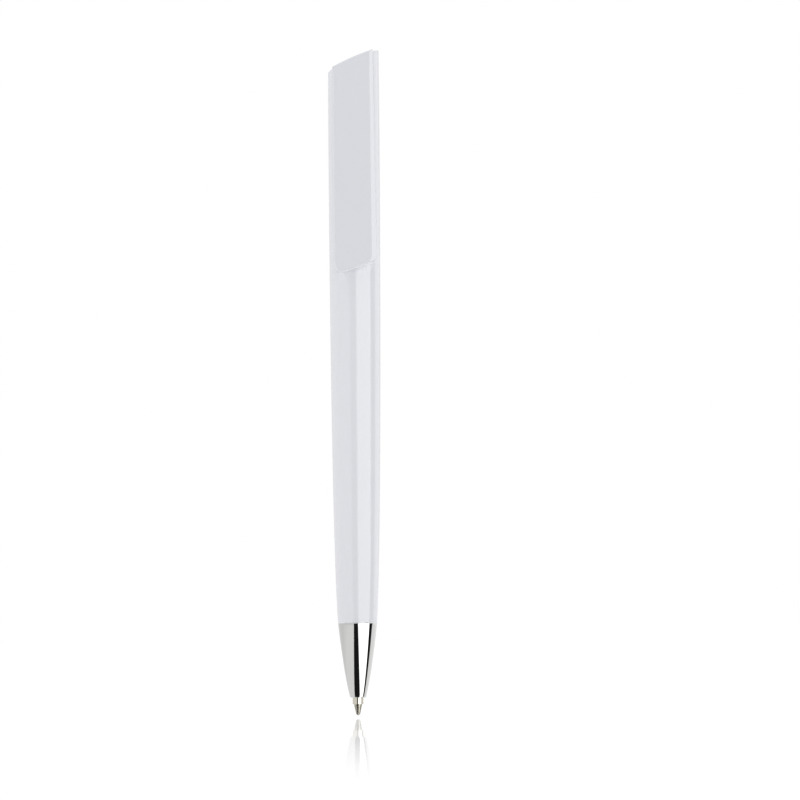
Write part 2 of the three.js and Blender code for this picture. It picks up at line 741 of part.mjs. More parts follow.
const refill = new THREE.Group();
refill.add(named('refill_tube', refillTube(), NATURAL));
refill.add(named('ink', inTube(inkBottom, followerBottom - SEAT_GAP), INK));
refill.add(named('ink_follower', inTube(followerBottom, followerTop), GREASE));
refill.add(named('writing_point', writingPoint(), BRASS));
refill.add(named('writing_ball', writingBall(), STEEL));
refill.add(named('cam_rotor', camRotor(), NATURAL));

pen.add(casing, push, refill);
// The middle between the clip's face and the barrel's back comes over the origin
pen.position.y = (clipOuter - BELLY_RADIUS) / 2;
console.log(`pen axis at y ${pen.position.y.toFixed(3)}, stroke ${stroke}`);
console.log(`foot ${footBottom.toFixed(2)} to ${footTop.toFixed(2)}, refill top ${refillTop.toFixed(2)}`);

export default pen;
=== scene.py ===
"""Looks of the slide-clip pen: white moulded barrel and clip, chromed nose, turned brass point.

Sizes are in millimetres about the pen's own axis, and place() sets them over the origin in metres.
"""

import bisect
import math

import bmesh
import bpy
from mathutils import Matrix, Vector


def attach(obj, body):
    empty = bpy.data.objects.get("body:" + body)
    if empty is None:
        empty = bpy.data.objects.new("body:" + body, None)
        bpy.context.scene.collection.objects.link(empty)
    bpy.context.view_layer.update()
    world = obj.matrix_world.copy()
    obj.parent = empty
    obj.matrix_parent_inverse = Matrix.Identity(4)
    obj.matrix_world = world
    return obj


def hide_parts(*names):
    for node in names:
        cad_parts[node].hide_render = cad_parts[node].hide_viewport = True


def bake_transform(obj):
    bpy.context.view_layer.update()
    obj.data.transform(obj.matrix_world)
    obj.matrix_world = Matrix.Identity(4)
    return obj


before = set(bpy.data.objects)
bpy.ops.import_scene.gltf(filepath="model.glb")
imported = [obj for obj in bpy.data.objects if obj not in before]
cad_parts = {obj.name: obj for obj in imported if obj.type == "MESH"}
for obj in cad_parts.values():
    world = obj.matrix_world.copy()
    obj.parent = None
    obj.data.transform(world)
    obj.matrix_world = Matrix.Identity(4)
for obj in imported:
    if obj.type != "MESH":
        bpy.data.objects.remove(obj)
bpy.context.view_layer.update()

MM = 0.001

# Whole pen
PEN_LENGTH = 140
TOP_SLOPE_HIGH = 0.3
TOP_CROWN_RADIUS = 52

# Barrel
SEAM_HEIGHT = 19.4
SEAM_RADIUS = 4.12
SEAM_SLOPE = 0.065
SEAM_REACH = 18
BELLY_RADIUS = 5.42
BELLY_HEIGHT = 118
BELLY_REACH = 15
TOP_RADIUS = 5.35
FLAT_DISTANCE = 3.45
RECESS_BOTTOM = 93.85
RECESS_TURN = 2.2
RECESS_TURN_SLOPE = 0.6
LINE_SLOPE = 0.37
RIB_HALF = 1.5
RIB_OUTER = 5.15
RIB_TOP = 108.5
RIB_FILLET = 1.7
SLOT_HALF = 1.4
SLOT_BOTTOM = 125.35
SLOT_TOP = 135.75
SPIGOT_BORE = 3.42
UPPER_BORE = 4.2
FLAT_INSIDE = 2.55
ROUND_BORE_END = 89.85
LEDGE_BOTTOM = 104.51
LEDGE_TOP = 106.11
LEDGE_HOLE = 1.9

# Clip
CLIP_INNER = 5.67
CLIP_OUTER = 7.5
CLIP_BOTTOM = 93.53
CLIP_LEFT = 4.42
CLIP_RIGHT_TOP = 4.1
CLIP_RIGHT_BOTTOM = 4.66
CORNER_LOW = 3.2
CORNER_HIGH = 1.3
BEVEL_DEPTH = 0.42
BEVEL_THIN = 0.25
BEVEL_LEFT_BOTTOM = 0.4
BEVEL_RIGHT_TOP = 0.7
BEVEL_RIGHT_BOTTOM = 1
FOOT_BASE = 4.2
FOOT_HALF = 1.8
FOOT_BOTTOM = 126.05
FOOT_TOP = 131.75
BEAD_HEIGHT = 102.37
BEAD_LENGTH = 2.7
BEAD_RISE = 0.38
BEAD_WIDTH = 3
BEAD_ROUND = 0.15
BEAD_END_SHARE = 0.9
POCKET_LOW = (-1, -5.3, 127.4)
POCKET_HIGH = (1, -3.2, 130.4)

# Inside
CONE_TOP = 2.3
SPRING_LOW = 8.3
SPRING_HIGH = 19.8
INK_LOW, INK_HIGH = 21.3, 93.31
GREASE_LOW, GREASE_HIGH = 93.61, 98.61

PEN_AXIS_Y = (CLIP_OUTER - BELLY_RADIUS) / 2

# Stations round a section of the barrel, from the clip's side; the left half mirrors the right
FRONT_X = [0, 0.7, 1.30, 1.34, 1.37, SLOT_HALF, 1.46, 1.52, 1.58, 1.64, 2.2, 2.9, 3.5]
SLOT_STATION = FRONT_X.index(SLOT_HALF)
PLAIN_FLAT_STATION = 9
CORNER_STEPS = 3
FIRST_CORNER = len(FRONT_X)
LAST_CORNER = FIRST_CORNER + CORNER_STEPS
ARC_STEPS = 56
HALF_STATIONS = LAST_CORNER + ARC_STEPS
EDGE = 0.09
NOMINAL_RADIUS = 5.4
WALL_REACH = 0.3
RIB_EDGE = 0.15
RIB_ROOT = 0.12
RIB_RISE = 0.4


# ---------------------------------------------------------------- curves of the pen

def place(x, y, z):
    return Vector((x * MM, (y + PEN_AXIS_Y) * MM, z * MM))


def mix(a, b, t):
    return a + (b - a) * t


def bezier(points, t):
    while len(points) > 1:
        points = [tuple(mix(p, q, t) for p, q in zip(a, b)) for a, b in zip(points, points[1:])]
    return points[0]


def rounded(start, corner, end, steps):
    return [bezier([start, corner, end], i / steps) for i in range(steps + 1)]


def top_height(x):
    """Height of the slanted, gently crowned top over a place across the pen."""
    level = TOP_CROWN_RADIUS * TOP_SLOPE_HIGH / math.hypot(1, TOP_SLOPE_HIGH)
    drop = math.sqrt(TOP_CROWN_RADIUS ** 2 - level ** 2)
    return PEN_LENGTH - drop + math.sqrt(TOP_CROWN_RADIUS ** 2 - (level + TOP_RADIUS - x) ** 2)


def recess_line(x):
    """The end wall of the recess, which turns up at the left behind the clip's round corner."""
    beyond = max(0.0, -RECESS_TURN - x)
    return RECESS_BOTTOM + LINE_SLOPE * (x + beyond) + RECESS_TURN_SLOPE * beyond


def slot_line(x):
    """The slot's upper end, level inside the slot and parallel to the top beside it."""
    return SLOT_TOP + top_height(x) - top_height(max(-SLOT_HALF, min(SLOT_HALF, x)))


OGIVE = [
    (SEAM_RADIUS, SEAM_HEIGHT),
    (SEAM_RADIUS + SEAM_REACH * SEAM_SLOPE, SEAM_HEIGHT + SEAM_REACH),
    (BELLY_RADIUS, BELLY_HEIGHT - BELLY_REACH),
    (BELLY_RADIUS, BELLY_HEIGHT),
]
DRAW_IN = [
    (BELLY_RADIUS, BELLY_HEIGHT),
    (BELLY_RADIUS, (BELLY_HEIGHT + PEN_LENGTH) / 2),
    (TOP_RADIUS, PEN_LENGTH),
]


OUTSIDE = [bezier(OGIVE, i / 300) for i in range(300)] + [bezier(DRAW_IN, i / 60) for i in range(61)]
OUTSIDE_HEIGHTS = [z for r, z in OUTSIDE]


def barrel_radius(z):
    i = min(max(bisect.bisect(OUTSIDE_HEIGHTS, z), 1), len(OUTSIDE) - 1)
    (r0, z0), (r1, z1) = OUTSIDE[i - 1], OUTSIDE[i]
    return mix(r0, r1, (z - z0) / (z1 - z0))


# ---------------------------------------------------------------- sections across the barrel

def station_angle(k):
    """Angle of a station on a full circle, from the clip's side round to the back."""
    edge = math.asin((math.sqrt(NOMINAL_RADIUS ** 2 - FLAT_DISTANCE ** 2)) / NOMINAL_RADIUS)
    first, last = edge - EDGE / NOMINAL_RADIUS, edge + EDGE / NOMINAL_RADIUS
    if k < FIRST_CORNER:
        return math.asin(FRONT_X[k] / NOMINAL_RADIUS)
    if k <= LAST_CORNER:
        return mix(first, last, (k - FIRST_CORNER) / CORNER_STEPS)
    return mix(last, math.pi, (k - LAST_CORNER) / ARC_STEPS)


def flat_point(k, radius, flat, rib):
    """A station on a section with a flat towards the clip and a rib standing on it."""
    half = math.sqrt(radius ** 2 - flat ** 2)
    if k >= FIRST_CORNER:
        turn = math.atan2(half, flat) + EDGE / radius
        if k > LAST_CORNER:
            angle = mix(turn, math.pi, (k - LAST_CORNER) / ARC_STEPS)
            return radius * math.sin(angle), -radius * math.cos(angle)
        after = (radius * math.sin(turn), -radius * math.cos(turn))
        return bezier([(half - EDGE, -flat), (half, -flat), after], (k - FIRST_CORNER) / CORNER_STEPS)
    x = FRONT_X[k]
    plain = FRONT_X[PLAIN_FLAT_STATION]
    if x > plain:
        wide = math.sqrt(NOMINAL_RADIUS ** 2 - FLAT_DISTANCE ** 2)
        x = plain + (x - plain) * (half - EDGE - plain) / (wide - EDGE - plain)
        return x, -flat
    stands = min(1, (rib - flat) / RIB_RISE)
    if k < 2:
        return x, mix(-flat, -rib, stands)
    if k <= SLOT_STATION:
        corner = [(RIB_HALF - RIB_EDGE, -rib), (RIB_HALF, -rib), (RIB_HALF, RIB_EDGE - rib)]
        on_rib = bezier(corner, (k - 2) / CORNER_STEPS)
    else:
        corner = [(RIB_HALF, -flat - RIB_ROOT), (RIB_HALF, -flat), (RIB_HALF + RIB_ROOT, -flat)]
        on_rib = bezier(corner, (k - SLOT_STATION - 1) / CORNER_STEPS)
    return mix(x, on_rib[0], stands), mix(-flat, on_rib[1], stands)


def section_point(k, radius, flat, rib, cut, off_flat, inset):
    """Station k of a section: cut goes that far into the recess's end wall, or None for the full flat.

    off_flat keeps it that far outside the flat, and inset draws the whole section in.
    """
    angle = station_angle(k)
    on_round = (radius * math.sin(angle), -radius * math.cos(angle))
    if cut == 0:
        x, y = on_round
    else:
        on_flat = flat_point(k, radius, flat, rib)
        reach = max(WALL_REACH, math.dist(on_round, on_flat))
        share = 1 - off_flat / reach if cut is None else cut / reach
        x, y = mix(on_round[0], on_flat[0], share), mix(on_round[1], on_flat[1], share)
    shrink = 1 - inset / math.hypot(x, y)
    return x * shrink, y * shrink


def section_row(height, radius_at, flat=FLAT_DISTANCE, rib=FLAT_DISTANCE, cut=None, off_flat=0.0, inset=0.0):
    """One closed row of points, right half from the clip's side to the back, then the left half."""
    rows = {1: [], -1: []}
    for side in rows:
        for k in range(HALF_STATIONS + 1):
            x = 0.0
            for _ in range(3):
                z = height(side * x)
                x, y = section_point(k, radius_at(z), flat, rib, cut, off_flat, inset)
            rows[side].append((side * x, y, height(side * x)))
    return rows[1] + rows[-1][-2:0:-1]


def level(z):
    return lambda x: z


def between(low, high, t):
    return lambda x: mix(low(x), high(x), t)


def above(line, rise):
    return lambda x: line(x) + rise


# ---------------------------------------------------------------- mesh helpers

def piece_from(bm, name, finish, sharp=40):
    bmesh.ops.recalc_face_normals(bm, faces=bm.faces)
    mesh = bpy.data.meshes.new(name)
    bm.to_mesh(mesh)
    bm.free()
    mesh.shade_smooth()
    mesh.set_sharp_from_angle(angle=math.radians(sharp))
    obj = bpy.data.objects.new(name, mesh)
    bpy.context.collection.objects.link(obj)
    mesh.materials.append(finish)
    return obj


def join_rows(bm, low, high, skip=()):
    count = len(low)
    for i in range(count):
        j = (i + 1) % count
        if (i, j) not in skip:
            bm.faces.new((low[i], low[j], high[j], high[i]))


def barrel_piece(finish):
    """Barrel as one closed skin: outside, slanted rim, bores, seam edge and the slot for the clip's neck."""
    seam_edge, wall_edge, wall_foot, rim_edge = 0.05, 0.12, 0.15, 0.12
    quarter = [math.pi / 2 * i / 4 for i in range(1, 5)]
    rows = [dict(height=level(SEAM_HEIGHT), cut=0, inset=seam_edge)]
    for a in quarter:
        rise = seam_edge * (1 - math.cos(a))
        rows.append(dict(height=level(SEAM_HEIGHT + rise), cut=0, inset=seam_edge * (1 - math.sin(a))))
    start, end = level(SEAM_HEIGHT + seam_edge), above(recess_line, -wall_edge)
    for i in range(1, 41):
        rows.append(dict(height=between(start, end, i / 40), cut=0))
    for a in quarter:
        line = above(recess_line, -wall_edge * (1 - math.sin(a)))
        rows.append(dict(height=line, rib=RIB_OUTER, cut=wall_edge * (1 - math.cos(a))))
    for a in [0] + quarter:
        line = above(recess_line, wall_foot * (1 - math.cos(a)))
        rows.append(dict(height=line, rib=RIB_OUTER, off_flat=wall_foot * (1 - math.sin(a))))
    start = above(recess_line, wall_foot)
    for i in range(1, 11):
        rows.append(dict(height=between(start, level(RIB_TOP), i / 10), rib=RIB_OUTER))
    for i in range(1, 13):
        a = math.pi / 2 * i / 12
        rib = FLAT_DISTANCE + RIB_FILLET * (1 - math.sin(a))
        rows.append(dict(height=level(RIB_TOP + RIB_FILLET * (1 - math.cos(a))), rib=rib))
    start = level(RIB_TOP + RIB_FILLET)
    for i in range(1, 9):
        rows.append(dict(height=between(start, level(SLOT_BOTTOM), i / 8)))
    slot_first = len(rows) - 1
    slot_rows = 6
    for i in range(1, slot_rows + 1):
        rows.append(dict(height=between(level(SLOT_BOTTOM), slot_line, i / slot_rows)))
    rim = above(top_height, -rim_edge)
    for i in range(1, 4):
        rows.append(dict(height=between(slot_line, rim, i / 3)))
    for a in quarter:
        line = above(top_height, -rim_edge * (1 - math.sin(a)))
        rows.append(dict(height=line, inset=rim_edge * (1 - math.cos(a))))
    outer = [section_row(radius_at=barrel_radius, **row) for row in rows]

    def bore(height, radius, **more):
        return section_row(height, lambda z: radius, flat=FLAT_INSIDE, rib=FLAT_INSIDE, **more)

    inner = [
        bore(level(SEAM_HEIGHT), SPIGOT_BORE, cut=0),
        bore(level(ROUND_BORE_END), SPIGOT_BORE, cut=0),
        bore(level(ROUND_BORE_END), SPIGOT_BORE),
        bore(level(LEDGE_BOTTOM), SPIGOT_BORE),
        bore(level(LEDGE_BOTTOM), LEDGE_HOLE, cut=0),
        bore(level(LEDGE_TOP), LEDGE_HOLE, cut=0),
        bore(level(LEDGE_TOP), UPPER_BORE),
        bore(level(SLOT_BOTTOM), UPPER_BORE),
    ]
    inner_first = len(inner) - 1
    for i in range(1, slot_rows + 1):
        inner.append(bore(between(level(SLOT_BOTTOM), slot_line, i / slot_rows), UPPER_BORE))
    lip = 0.06
    inner.append(bore(above(top_height, -lip), UPPER_BORE))
    inner.append(bore(top_height, UPPER_BORE, inset=-lip))
    face = []
    for share in (1 / 3, 2 / 3):
        flat_row = [(mix(a[0], b[0], share), mix(a[1], b[1], share)) for a, b in zip(outer[-1], inner[-1])]
        face.append([(x, y, top_height(x)) for x, y in flat_row])

    bm = bmesh.new()
    skins = [[[bm.verts.new(place(*p)) for p in row] for row in rows] for rows in (outer, face, inner)]
    outer, face, inner = skins
    count = len(outer[0])
    front = [i % count for i in range(-SLOT_STATION, SLOT_STATION + 1)]
    opening = set(zip(front, front[1:]))
    for skin, first in ((outer, slot_first), (inner, inner_first)):
        for i, (low, high) in enumerate(zip(skin, skin[1:])):
            join_rows(bm, low, high, opening if first <= i < first + slot_rows else ())
    chain = [outer[-1], *face, inner[-1]]
    for low, high in zip(chain, chain[1:]):
        join_rows(bm, low, high)
    join_rows(bm, outer[0], inner[0])
    for step in range(slot_rows):
        for k in (front[0], front[-1]):
            a, b = outer[slot_first + step][k], outer[slot_first + step + 1][k]
            c, d = inner[inner_first + step + 1][k], inner[inner_first + step][k]
            bm.faces.new((a, b, c, d))
    for step in (0, slot_rows):
        for i, j in opening:
            a, b = outer[slot_first + step][i], outer[slot_first + step][j]
            c, d = inner[inner_first + step][j], inner[inner_first + step][i]
            bm.faces.new((a, b, c, d))
    return piece_from(bm, "barrel_moulding", finish)


def loop(bm, points):
    return [bm.verts.new(place(*p)) for p in points]


def carve(obj, tools, operation):
    """Joins or cuts with the tool pieces, then takes the result as the piece's own mesh."""
    for tool in tools:
        step = obj.modifiers.new("carve", "BOOLEAN")
        step.operation = operation
        step.solver = "EXACT"
        step.object = tool
    settle(obj)
    for tool in tools:
        bpy.data.objects.remove(tool)


def settle(obj):
    """The evaluated shape becomes the piece's plain mesh, and its modifiers go."""
    ready = obj.evaluated_get(bpy.context.evaluated_depsgraph_get())
    mesh = bpy.data.meshes.new_from_object(ready)
    obj.modifiers.clear()
    old, obj.data = obj.data, mesh
    mesh.name = obj.name
    bpy.data.meshes.remove(old)


def flatten_shading(obj, sharp=40):
    """Large flats keep their own normal, and small edge rounds carry the turn."""
    obj.data.shade_smooth()
    obj.data.set_sharp_from_angle(angle=math.radians(sharp))
    step = obj.modifiers.new("flats", "WEIGHTED_NORMAL")
    step.keep_sharp = True
    step.weight = 100
    settle(obj)


def block(name, finish, low, high, edge=0.0):
    """A block between two corners, with its edges rounded."""
    bm = bmesh.new()
    bmesh.ops.create_cube(bm, size=1)
    for v in bm.verts:
        v.co = place(*(mix(a, b, c + 0.5) for a, b, c in zip(low, high, v.co)))
    if edge:
        bmesh.ops.bevel(bm, geom=bm.edges[:], offset=edge * MM, segments=3, profile=0.5, affect="EDGES")
    return piece_from(bm, name, finish)


# ---------------------------------------------------------------- top cap

def cap_piece(finish):
    """Lid that closes the slanted top, flush with the rim, on a skirt that is open towards the clip."""
    radius, flat, skirt_bottom, edge = 4.0, 2.35, 133.5, 0.12

    def outside(height, inset=0.0):
        return section_row(height, lambda z: radius, flat=flat, rib=flat, inset=inset)

    rows = [outside(level(skirt_bottom))]
    start, end = level(skirt_bottom), above(top_height, -edge)
    rows += [outside(between(start, end, i / 4)) for i in range(1, 5)]
    for i in range(1, 5):
        a = math.pi / 2 * i / 4
        rows.append(outside(above(top_height, -edge * (1 - math.sin(a))), inset=edge * (1 - math.cos(a))))
    rings = 10
    for i in range(1, rings):
        share = 1 - i / rings
        rows.append([(x * share, y * share, top_height(x * share)) for x, y, z in rows[8]])
    bm = bmesh.new()
    rows = [loop(bm, row) for row in rows]
    for low, high in zip(rows, rows[1:]):
        join_rows(bm, low, high)
    middle = bm.verts.new(place(0, 0, top_height(0)))
    for i, v in enumerate(rows[-1]):
        bm.faces.new((v, rows[-1][(i + 1) % len(rows[-1])], middle))
    bm.faces.new(rows[0])
    cap = piece_from(bm, "top_cap_lid", finish)
    under, bore, facets = 0.9, 3.2, 64
    hollow = bmesh.new()
    turns = [math.tau * i / facets for i in range(facets)]
    ring = [(bore * math.sin(a), -bore * math.cos(a)) for a in turns]
    low = loop(hollow, [(x, y, skirt_bottom - 1) for x, y in ring])
    high = loop(hollow, [(x, y, top_height(x) - under) for x, y in ring])
    join_rows(hollow, low, high)
    hollow.faces.new(low)
    hollow.faces.new(high)
    way = 2.45
    front = block("front", finish, (-way, -9, skirt_bottom - 1), (way, 0, top_height(-way) - under))
    carve(cap, [piece_from(hollow, "hollow", finish), front], "DIFFERENCE")
    flatten_shading(cap)
    return cap


# ---------------------------------------------------------------- clip

def clip_outline(bevel, inset=0.0):
    """Outline of the plate from its top right, anticlockwise; bevel is 0 at the sides and 1 at the face."""
    thin = BEVEL_THIN * bevel + inset
    left_top, left = thin - CLIP_LEFT, BEVEL_LEFT_BOTTOM * bevel + inset - CLIP_LEFT
    right_top = CLIP_RIGHT_TOP - BEVEL_RIGHT_TOP * bevel - inset
    right = CLIP_RIGHT_BOTTOM - BEVEL_RIGHT_BOTTOM * bevel - inset
    low_left = (left, CLIP_BOTTOM + LINE_SLOPE * left + thin)
    low_right = (right, CLIP_BOTTOM + LINE_SLOPE * right + thin)
    high_right = (right_top, top_height(right_top) - thin)
    high_left = (left_top, top_height(left_top) - thin)

    def towards(a, b, reach):
        share = reach / math.dist(a, b)
        return mix(a[0], b[0], share), mix(a[1], b[1], share)

    low_radius = CORNER_LOW - thin

    def turn(before, corner, after, radius, steps):
        return rounded(towards(corner, before, radius), corner, towards(corner, after, radius), steps)

    turn_left = turn(high_left, low_left, low_right, low_radius, 10)
    turn_right = turn(low_left, low_right, high_right, CORNER_HIGH, 8)
    points = []
    for i in range(24):
        x = mix(right_top, left_top, i / 24)
        points.append((x, top_height(x) - thin))

    def run(a, b, steps, last):
        return [(mix(a[0], b[0], i / steps), mix(a[1], b[1], i / steps)) for i in range(steps + last)]

    points += run(high_left, turn_left[0], 16, 1) + turn_left[1:-1]
    points += run(turn_left[-1], turn_right[0], 8, 1) + turn_right[1:-1]
    return points + run(turn_right[-1], high_right, 16, 0)


def bead_piece(finish):
    """Low round bead across the clip's inner face, with eased ends."""
    bm = bmesh.new()
    end = BEAD_WIDTH / 2
    slices = [(-end, BEAD_END_SHARE), (BEAD_ROUND - end, 1), (end - BEAD_ROUND, 1), (end, BEAD_END_SHARE)]
    rows = []
    for x, share in slices:
        half = BEAD_LENGTH / 2 * share
        root = -CLIP_INNER - 0.4
        arc = [(x, root, BEAD_HEIGHT + half), (x, root, BEAD_HEIGHT - half)]
        for i in range(25):
            a = math.pi * i / 24
            arc.append((x, BEAD_RISE * share * math.sin(a) - CLIP_INNER, BEAD_HEIGHT - half * math.cos(a)))
        rows.append(loop(bm, arc))
    for low, high in zip(rows, rows[1:]):
        join_rows(bm, low, high)
    bm.faces.new(rows[0])
    bm.faces.new(rows[-1])
    return piece_from(bm, "bead", finish)


def clip_piece(finish):
    """Plate with its widening bevel, the foot on the slider's neck and the gripping bead."""
    edge, soft, strip = 0.12, 0.03, 0.07
    rings = []
    for i in range(5):
        a = math.pi / 2 * i / 4
        rings.append((clip_outline(0, edge * (1 - math.sin(a))), CLIP_INNER + edge * (1 - math.cos(a))))
    shoulder = CLIP_OUTER - BEVEL_DEPTH
    for share in (0, 0.5, 1):
        at = shoulder - soft * (1 - share) ** 2 + soft * share ** 2
        rings.append((clip_outline(strip * share ** 2), at))
    for share in (0, 0.5, 1):
        over = 1 - strip * (1 - share) ** 2
        rings.append((clip_outline(over, soft * share ** 2), CLIP_OUTER - soft * (1 - share) ** 2))
    bm = bmesh.new()
    rows = [loop(bm, [(x, -y, z) for x, z in points]) for points, y in rings]
    for low, high in zip(rows, rows[1:]):
        join_rows(bm, low, high)
    bm.faces.new(rows[0])
    bm.faces.new(rows[-1])
    clip = piece_from(bm, "clip_plate", finish)
    low, high = (-FOOT_HALF, -CLIP_INNER - 0.6, FOOT_BOTTOM), (FOOT_HALF, -FOOT_BASE, FOOT_TOP)
    carve(clip, [block("foot", finish, low, high, 0.25), bead_piece(finish)], "UNION")
    carve(clip, [block("pocket", finish, POCKET_LOW, POCKET_HIGH)], "DIFFERENCE")
    flatten_shading(clip, 35)
    return clip


# ---------------------------------------------------------------- node sheets

class Value:
    """A socket that can be used in arithmetic; each operation adds its Math node."""

    def __init__(self, sheet, socket):
        self.sheet = sheet
        self.socket = socket

    def __add__(self, other):
        return self.sheet.maths("ADD", self, other)

    __radd__ = __add__

    def __sub__(self, other):
        return self.sheet.maths("SUBTRACT", self, other)

    def __rsub__(self, other):
        return self.sheet.maths("SUBTRACT", other, self)

    def __mul__(self, other):
        return self.sheet.maths("MULTIPLY", self, other)

    __rmul__ = __mul__

    def __truediv__(self, other):
        return self.sheet.maths("DIVIDE", self, other)


class Sheet:
    """Builds one node tree."""

    def __init__(self, tree):
        self.tree = tree
        tree.nodes.clear()

    def node(self, kind, settings=None, values=None, out=0):
        """A node of that type: its settings first, then the values or links of its sockets."""
        made = self.tree.nodes.new(kind)
        for key, value in (settings or {}).items():
            if key == "stops":
                ramp = made.color_ramp
                while len(ramp.elements) < len(value):
                    ramp.elements.new(0.5)
                for stop, (position, colour) in zip(ramp.elements, value):
                    stop.position = position
                    stop.color = (*colour, 1)
            else:
                setattr(made, key, value)
        for key, value in (values or {}).items():
            if isinstance(value, Value):
                self.tree.links.new(value.socket, made.inputs[key])
            else:
                made.inputs[key].default_value = value
        return Value(self, made.outputs[out])

    def maths(self, operation, *values):
        kind = "ShaderNodeMath"
        return self.node(kind, {"operation": operation}, dict(enumerate(values)))

    def smooth(self, value, low, high):
        """0 below low, 1 above high, and a soft step between."""
        settings = {"interpolation_type": "SMOOTHSTEP"}
        return self.node("ShaderNodeMapRange", settings, {0: value, 1: low, 2: high})

    def blend(self, share, first, second):
        """Colour between two colours."""
        settings = {"data_type": "RGBA"}
        return self.node("ShaderNodeMix", settings, {0: share, 6: first, 7: second}, out=2)


def split(sheet, vector):
    """The x, y and z of a vector socket."""
    apart = sheet.tree.nodes.new("ShaderNodeSeparateXYZ")
    sheet.tree.links.new(vector.socket, apart.inputs[0])
    return [Value(sheet, apart.outputs[i]) for i in range(3)]


# ---------------------------------------------------------------- turned pieces and the spring

def add_sockets(tree, inputs):
    interface = tree.interface
    interface.new_socket("Shape", in_out="INPUT", socket_type="NodeSocketGeometry")
    for name, kind, value in inputs:
        socket = interface.new_socket(name, in_out="INPUT", socket_type=kind)
        if value is not None:
            socket.default_value = value
    interface.new_socket("Shape", in_out="OUTPUT", socket_type="NodeSocketGeometry")


def turning_tree():
    """Turns a profile, whose points are [radius, height], about the pen's axis."""
    tree = bpy.data.node_groups.new("turn the profile", "GeometryNodeTree")
    add_sockets(tree, [
        ("Facets round", "NodeSocketInt", 96),
        ("Axis set back", "NodeSocketFloat", PEN_AXIS_Y * MM),
        ("Finish", "NodeSocketMaterial", None),
    ])
    sheet = Sheet(tree)
    given = tree.nodes.new("NodeGroupInput")
    profile, facets, axis, finish = (Value(sheet, given.outputs[i]) for i in range(4))
    points = sheet.node("GeometryNodeAttributeDomainSize", {"component": "MESH"}, {0: profile})
    grid = sheet.node("GeometryNodeMeshGrid", {}, {"Vertices X": points, "Vertices Y": facets + 1})
    index = sheet.node("GeometryNodeInputIndex")
    along = sheet.maths("FLOOR", index / (facets + 1))
    turn = (index - along * (facets + 1)) / facets * math.tau
    position = sheet.node("GeometryNodeInputPosition")
    values = {"Geometry": profile, "Value": position, "Index": along}
    at = sheet.node("GeometryNodeSampleIndex", {"data_type": "FLOAT_VECTOR"}, values)
    radius, _, height = split(sheet, at)
    x = radius * sheet.maths("SINE", turn)
    y = axis - radius * sheet.maths("COSINE", turn)
    where = sheet.node("ShaderNodeCombineXYZ", {}, {0: x, 1: y, 2: height})
    shell = sheet.node("GeometryNodeSetPosition", {}, {"Geometry": grid, "Position": where})
    closed = sheet.node("GeometryNodeMergeByDistance", {}, {"Geometry": shell, "Distance": 1e-7})
    finish_shape(sheet, closed, finish)
    return tree


def finish_shape(sheet, shape, finish):
    real = sheet.node("GeometryNodeRealizeInstances", {}, {"Geometry": shape})
    dressed = sheet.node("GeometryNodeSetMaterial", {}, {"Geometry": real, "Material": finish})
    last = sheet.tree.nodes.new("NodeGroupOutput")
    sheet.tree.links.new(dressed.socket, last.inputs[0])


def coil_tree():
    """Round wire along a helix whose end coils lie close together."""
    tree = bpy.data.node_groups.new("wind the spring", "GeometryNodeTree")
    add_sockets(tree, [
        ("Turns", "NodeSocketFloat", 9.0),
        ("Coil radius", "NodeSocketFloat", 0.001),
        ("Wire radius", "NodeSocketFloat", 0.0001),
        ("Low end", "NodeSocketFloat", 0.0),
        ("High end", "NodeSocketFloat", 0.01),
        ("Evenness", "NodeSocketFloat", 0.3),
        ("Axis set back", "NodeSocketFloat", PEN_AXIS_Y * MM),
        ("Finish", "NodeSocketMaterial", None),
    ])
    sheet = Sheet(tree)
    given = tree.nodes.new("NodeGroupInput")
    _, turns, coil, wire, low, high, even, axis, finish = (Value(sheet, given.outputs[i]) for i in range(9))
    steps = 432
    line = sheet.node("GeometryNodeMeshLine", {"mode": "OFFSET"}, {"Count": steps + 1})
    share = sheet.node("GeometryNodeInputIndex") / steps
    turn = share * turns * math.tau
    closing = sheet.smooth(share, 0.0, 1.0)
    height = low + (high - low) * (even * share + (1 - even) * closing)
    x = coil * sheet.maths("COSINE", turn)
    y = axis + coil * sheet.maths("SINE", turn)
    where = sheet.node("ShaderNodeCombineXYZ", {}, {0: x, 1: y, 2: height})
    path = sheet.node("GeometryNodeSetPosition", {}, {"Geometry": line, "Position": where})
    path = sheet.node("GeometryNodeMeshToCurve", {}, {0: path})
    section = sheet.node("GeometryNodeCurvePrimitiveCircle", {}, {"Resolution": 14, "Radius": wire})
    values = {"Curve": path, "Profile Curve": section, "Fill Caps": True}
    tube = sheet.node("GeometryNodeCurveToMesh", {}, values)
    finish_shape(sheet, tube, finish)
    return tree


def grown(name, points, tree, inputs):
    """A piece that a node tree makes from a line of points, as a plain mesh."""
    mesh = bpy.data.meshes.new(name)
    mesh.from_pydata(points, [(i, i + 1) for i in range(len(points) - 1)], [])
    obj = bpy.data.objects.new(name, mesh)
    bpy.context.collection.objects.link(obj)
    step = obj.modifiers.new(tree.name, "NODES")
    step.node_group = tree
    for item in tree.interface.items_tree:
        if item.in_out == "INPUT" and item.name in inputs:
            step[item.identifier] = inputs[item.name]
    settle(obj)
    bm = bmesh.new()
    bm.from_mesh(obj.data)
    bmesh.ops.recalc_face_normals(bm, faces=bm.faces)
    bm.to_mesh(obj.data)
    bm.free()
    flatten_shading(obj)
    return obj


def turned(name, profile, finish, facets=96):
    points = [(r * MM, 0, z * MM) for r, z in profile]
    return grown(name, points, TURNING, {"Facets round": facets, "Finish": finish})


